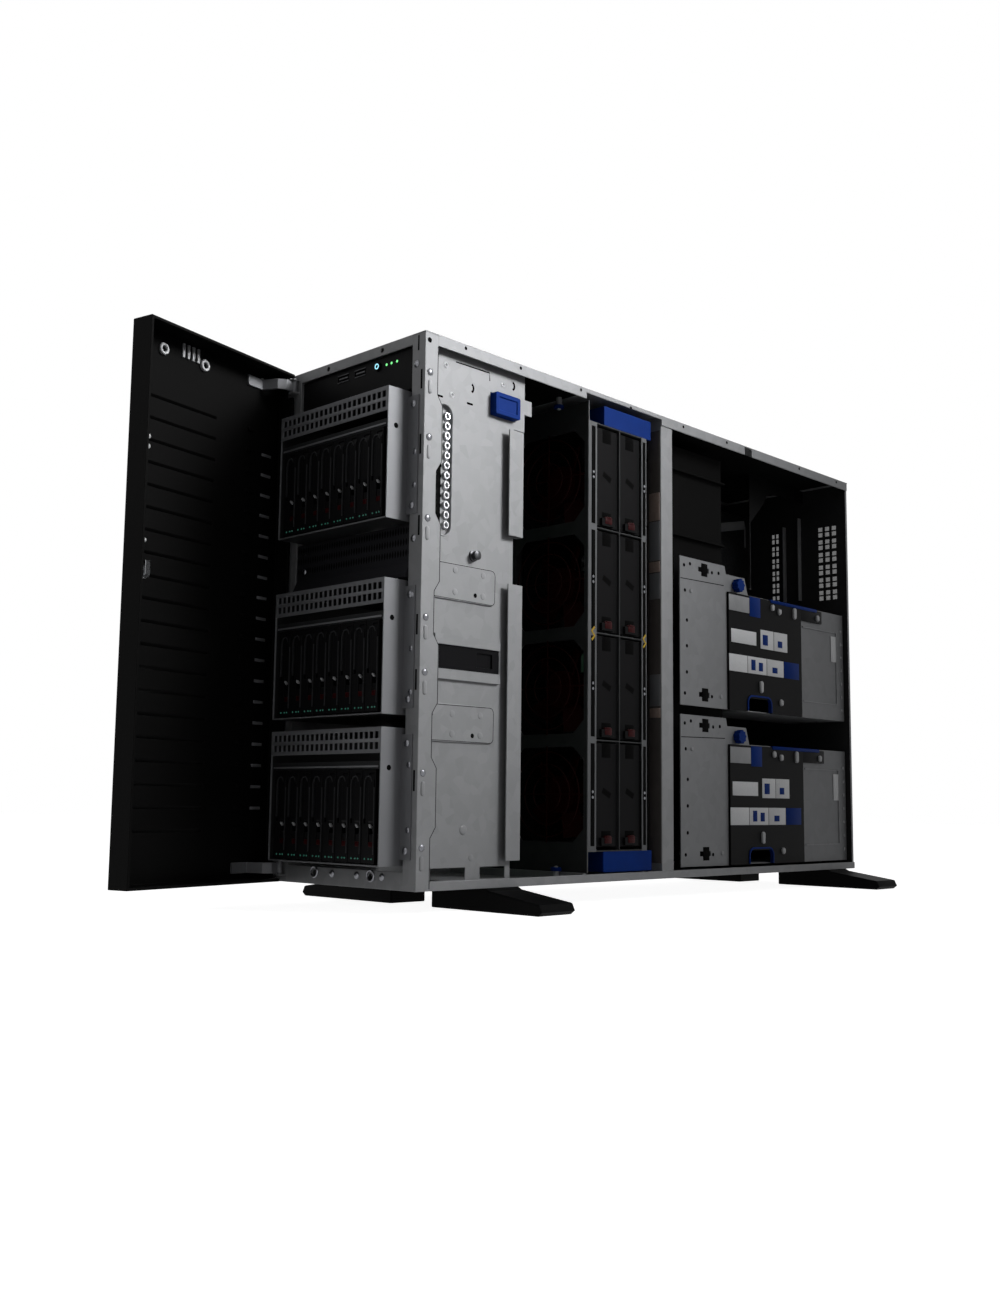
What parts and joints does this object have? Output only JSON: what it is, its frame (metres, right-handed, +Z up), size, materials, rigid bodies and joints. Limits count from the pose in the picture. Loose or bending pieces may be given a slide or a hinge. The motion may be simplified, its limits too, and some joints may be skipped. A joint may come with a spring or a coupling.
{
  "type": "tower server",
  "caption": "Tower server with its side cover off and front door open: drive cages, fan frame, riser cages and supply in a steel chassis on wide feet.",
  "frame": {"origin": "bottom centre of the box round the whole object, on the surface it stands on", "axes": "+X towards the open service side, -Y towards the front that the drives face, +Z up"},
  "size_m": [0.296, 0.8566, 0.4585],
  "materials": {
    "galvanised_steel": "galvanised sheet, light grey, satin",
    "cage_steel": "grey coated sheet, satin",
    "supply_steel": "plain sheet steel, satin",
    "circuit_board": "coated fibreglass laminate",
    "black_plastic": "moulded black, fine grain",
    "grey_plastic": "moulded grey, smooth",
    "blue_plastic": "moulded blue touch point, smooth",
    "rotor_plastic": "moulded black, half gloss",
    "dark_foot_plastic": "moulded dark grey, fine grain",
    "door_plastic": "moulded black, fine grain",
    "lock_chrome": "plated lock barrel"
  },
  "bodies": {
    "chassis": {"base_plate": "galvanised_steel", "left_wall": "galvanised_steel", "top_plate": "galvanised_steel", "rear_wall": "galvanised_steel", "front_column": "galvanised_steel", "centre_post": "galvanised_steel", "bay_wall": "galvanised_steel", "drive_cage_1": "cage_steel", "drive_cage_2": "cage_steel", "drive_cage_3": "cage_steel", "drive_backplanes": "circuit_board", "media_blanks": "black_plastic", "control_panel": "black_plastic", "system_board": "circuit_board", "air_baffle": "black_plastic", "feet": "dark_foot_plastic"},
    "door": {"front_door": "door_plastic", "hinge_arms": "galvanised_steel"},
    "lock": {"door_lock": "lock_chrome"},
    "power_button": {"power_button": "grey_plastic"},
    "side_latch": {"side_latch": "blue_plastic"},
    "fan_cage": {"fan_cage": "galvanised_steel", "fan_handles": "blue_plastic"},
    "fan_row_1": {"fan_row_1": "black_plastic"},
    "fan_rotor_1": {"fan_rotor_1": "rotor_plastic"},
    "fan_row_2": {"fan_row_2": "black_plastic"},
    "fan_rotor_2": {"fan_rotor_2": "rotor_plastic"},
    "fan_row_3": {"fan_row_3": "black_plastic"},
    "fan_rotor_3": {"fan_rotor_3": "rotor_plastic"},
    "fan_row_4": {"fan_row_4": "black_plastic"},
    "fan_rotor_4": {"fan_rotor_4": "rotor_plastic"},
    "riser_1": {"riser_cage_1": "galvanised_steel"},
    "riser_knob_1": {"riser_knob_1": "blue_plastic"},
    "riser_2": {"riser_cage_2": "galvanised_steel"},
    "riser_knob_2": {"riser_knob_2": "blue_plastic"},
    "power_supply": {"power_supply": "supply_steel"},
    "drive_1_1": {"drive_1_1": "black_plastic"},
    "drive_1_2": {"drive_1_2": "black_plastic"},
    "drive_1_3": {"drive_1_3": "black_plastic"},
    "drive_1_4": {"drive_1_4": "black_plastic"},
    "drive_1_5": {"drive_1_5": "black_plastic"},
    "drive_1_6": {"drive_1_6": "black_plastic"},
    "drive_1_7": {"drive_1_7": "black_plastic"},
    "drive_1_8": {"drive_1_8": "black_plastic"},
    "drive_2_1": {"drive_2_1": "black_plastic"},
    "drive_2_2": {"drive_2_2": "black_plastic"},
    "drive_2_3": {"drive_2_3": "black_plastic"},
    "drive_2_4": {"drive_2_4": "black_plastic"},
    "drive_2_5": {"drive_2_5": "black_plastic"},
    "drive_2_6": {"drive_2_6": "black_plastic"},
    "drive_2_7": {"drive_2_7": "black_plastic"},
    "drive_2_8": {"drive_2_8": "black_plastic"},
    "drive_3_1": {"drive_3_1": "black_plastic"},
    "drive_3_2": {"drive_3_2": "black_plastic"},
    "drive_3_3": {"drive_3_3": "black_plastic"},
    "drive_3_4": {"drive_3_4": "black_plastic"},
    "drive_3_5": {"drive_3_5": "black_plastic"},
    "drive_3_6": {"drive_3_6": "black_plastic"},
    "drive_3_7": {"drive_3_7": "black_plastic"},
    "drive_3_8": {"drive_3_8": "black_plastic"}
  },
  "joints": [
    {"name": "door_hinge", "type": "hinge", "parent": "chassis", "child": "door", "pos_m": [-0.0783, -0.26172, 0.2385], "axis": [0, 0, -1], "range_deg": [-78, 12]},
    {"name": "lock_turn", "type": "hinge", "parent": "door", "child": "lock", "pos_m": [-0.07031, -0.41716, 0.2595], "axis": [0.9781, 0.2079, 0], "range_deg": [0, 90]},
    {"name": "power_press", "type": "slide", "parent": "chassis", "child": "power_button", "axis": [0, 1, 0], "range_m": [0, 0.0015], "stiffness_N_per_m": 400},
    {"name": "latch_press", "type": "slide", "parent": "chassis", "child": "side_latch", "axis": [-1, 0, 0], "range_m": [0, 0.003], "stiffness_N_per_m": 400},
    {"name": "fan_cage_slide", "type": "slide", "parent": "chassis", "child": "fan_cage", "axis": [1, 0, 0], "range_m": [0, 0.2]},
    {"name": "fan_row_1_slide", "type": "slide", "parent": "fan_cage", "child": "fan_row_1", "axis": [1, 0, 0], "range_m": [0, 0.1]},
    {"name": "fan_rotor_1_spin", "type": "hinge", "parent": "fan_row_1", "child": "fan_rotor_1", "pos_m": [0.037, -0.03873, 0.3825], "axis": [0, 1, 0], "continuous": true},
    {"name": "fan_row_2_slide", "type": "slide", "parent": "fan_cage", "child": "fan_row_2", "axis": [1, 0, 0], "range_m": [0, 0.1]},
    {"name": "fan_rotor_2_spin", "type": "hinge", "parent": "fan_row_2", "child": "fan_rotor_2", "pos_m": [0.037, -0.03873, 0.2865], "axis": [0, 1, 0], "continuous": true},
    {"name": "fan_row_3_slide", "type": "slide", "parent": "fan_cage", "child": "fan_row_3", "axis": [1, 0, 0], "range_m": [0, 0.1]},
    {"name": "fan_rotor_3_spin", "type": "hinge", "parent": "fan_row_3", "child": "fan_rotor_3", "pos_m": [0.037, -0.03873, 0.1905], "axis": [0, 1, 0], "continuous": true},
    {"name": "fan_row_4_slide", "type": "slide", "parent": "fan_cage", "child": "fan_row_4", "axis": [1, 0, 0], "range_m": [0, 0.1]},
    {"name": "fan_rotor_4_spin", "type": "hinge", "parent": "fan_row_4", "child": "fan_rotor_4", "pos_m": [0.037, -0.03873, 0.0945], "axis": [0, 1, 0], "continuous": true},
    {"name": "riser_1_lift", "type": "slide", "parent": "chassis", "child": "riser_1", "axis": [1, 0, 0], "range_m": [0, 0.17]},
    {"name": "riser_1_knob_turn", "type": "hinge", "parent": "riser_1", "child": "riser_knob_1", "pos_m": [0.08, 0.18527, 0.3105], "axis": [1, 0, 0], "range_deg": [0, 90]},
    {"name": "riser_2_lift", "type": "slide", "parent": "chassis", "child": "riser_2", "axis": [1, 0, 0], "range_m": [0, 0.17]},
    {"name": "riser_2_knob_turn", "type": "hinge", "parent": "riser_2", "child": "riser_knob_2", "pos_m": [0.08, 0.18527, 0.1555], "axis": [1, 0, 0], "range_deg": [0, 90]},
    {"name": "power_supply_slide", "type": "slide", "parent": "chassis", "child": "power_supply", "axis": [0, 1, 0], "range_m": [0, 0.15]},
    {"name": "drive_1_1_slide", "type": "slide", "parent": "chassis", "child": "drive_1_1", "axis": [0, -1, 0], "range_m": [0, 0.12]},
    {"name": "drive_1_2_slide", "type": "slide", "parent": "chassis", "child": "drive_1_2", "axis": [0, -1, 0], "range_m": [0, 0.12]},
    {"name": "drive_1_3_slide", "type": "slide", "parent": "chassis", "child": "drive_1_3", "axis": [0, -1, 0], "range_m": [0, 0.12]},
    {"name": "drive_1_4_slide", "type": "slide", "parent": "chassis", "child": "drive_1_4", "axis": [0, -1, 0], "range_m": [0, 0.12]},
    {"name": "drive_1_5_slide", "type": "slide", "parent": "chassis", "child": "drive_1_5", "axis": [0, -1, 0], "range_m": [0, 0.12]},
    {"name": "drive_1_6_slide", "type": "slide", "parent": "chassis", "child": "drive_1_6", "axis": [0, -1, 0], "range_m": [0, 0.12]},
    {"name": "drive_1_7_slide", "type": "slide", "parent": "chassis", "child": "drive_1_7", "axis": [0, -1, 0], "range_m": [0, 0.12]},
    {"name": "drive_1_8_slide", "type": "slide", "parent": "chassis", "child": "drive_1_8", "axis": [0, -1, 0], "range_m": [0, 0.12]},
    {"name": "drive_2_1_slide", "type": "slide", "parent": "chassis", "child": "drive_2_1", "axis": [0, -1, 0], "range_m": [0, 0.12]},
    {"name": "drive_2_2_slide", "type": "slide", "parent": "chassis", "child": "drive_2_2", "axis": [0, -1, 0], "range_m": [0, 0.12]},
    {"name": "drive_2_3_slide", "type": "slide", "parent": "chassis", "child": "drive_2_3", "axis": [0, -1, 0], "range_m": [0, 0.12]},
    {"name": "drive_2_4_slide", "type": "slide", "parent": "chassis", "child": "drive_2_4", "axis": [0, -1, 0], "range_m": [0, 0.12]},
    {"name": "drive_2_5_slide", "type": "slide", "parent": "chassis", "child": "drive_2_5", "axis": [0, -1, 0], "range_m": [0, 0.12]},
    {"name": "drive_2_6_slide", "type": "slide", "parent": "chassis", "child": "drive_2_6", "axis": [0, -1, 0], "range_m": [0, 0.12]},
    {"name": "drive_2_7_slide", "type": "slide", "parent": "chassis", "child": "drive_2_7", "axis": [0, -1, 0], "range_m": [0, 0.12]},
    {"name": "drive_2_8_slide", "type": "slide", "parent": "chassis", "child": "drive_2_8", "axis": [0, -1, 0], "range_m": [0, 0.12]},
    {"name": "drive_3_1_slide", "type": "slide", "parent": "chassis", "child": "drive_3_1", "axis": [0, -1, 0], "range_m": [0, 0.12]},
    {"name": "drive_3_2_slide", "type": "slide", "parent": "chassis", "child": "drive_3_2", "axis": [0, -1, 0], "range_m": [0, 0.12]},
    {"name": "drive_3_3_slide", "type": "slide", "parent": "chassis", "child": "drive_3_3", "axis": [0, -1, 0], "range_m": [0, 0.12]},
    {"name": "drive_3_4_slide", "type": "slide", "parent": "chassis", "child": "drive_3_4", "axis": [0, -1, 0], "range_m": [0, 0.12]},
    {"name": "drive_3_5_slide", "type": "slide", "parent": "chassis", "child": "drive_3_5", "axis": [0, -1, 0], "range_m": [0, 0.12]},
    {"name": "drive_3_6_slide", "type": "slide", "parent": "chassis", "child": "drive_3_6", "axis": [0, -1, 0], "range_m": [0, 0.12]},
    {"name": "drive_3_7_slide", "type": "slide", "parent": "chassis", "child": "drive_3_7", "axis": [0, -1, 0], "range_m": [0, 0.12]},
    {"name": "drive_3_8_slide", "type": "slide", "parent": "chassis", "child": "drive_3_8", "axis": [0, -1, 0], "range_m": [0, 0.12]}
  ]
}
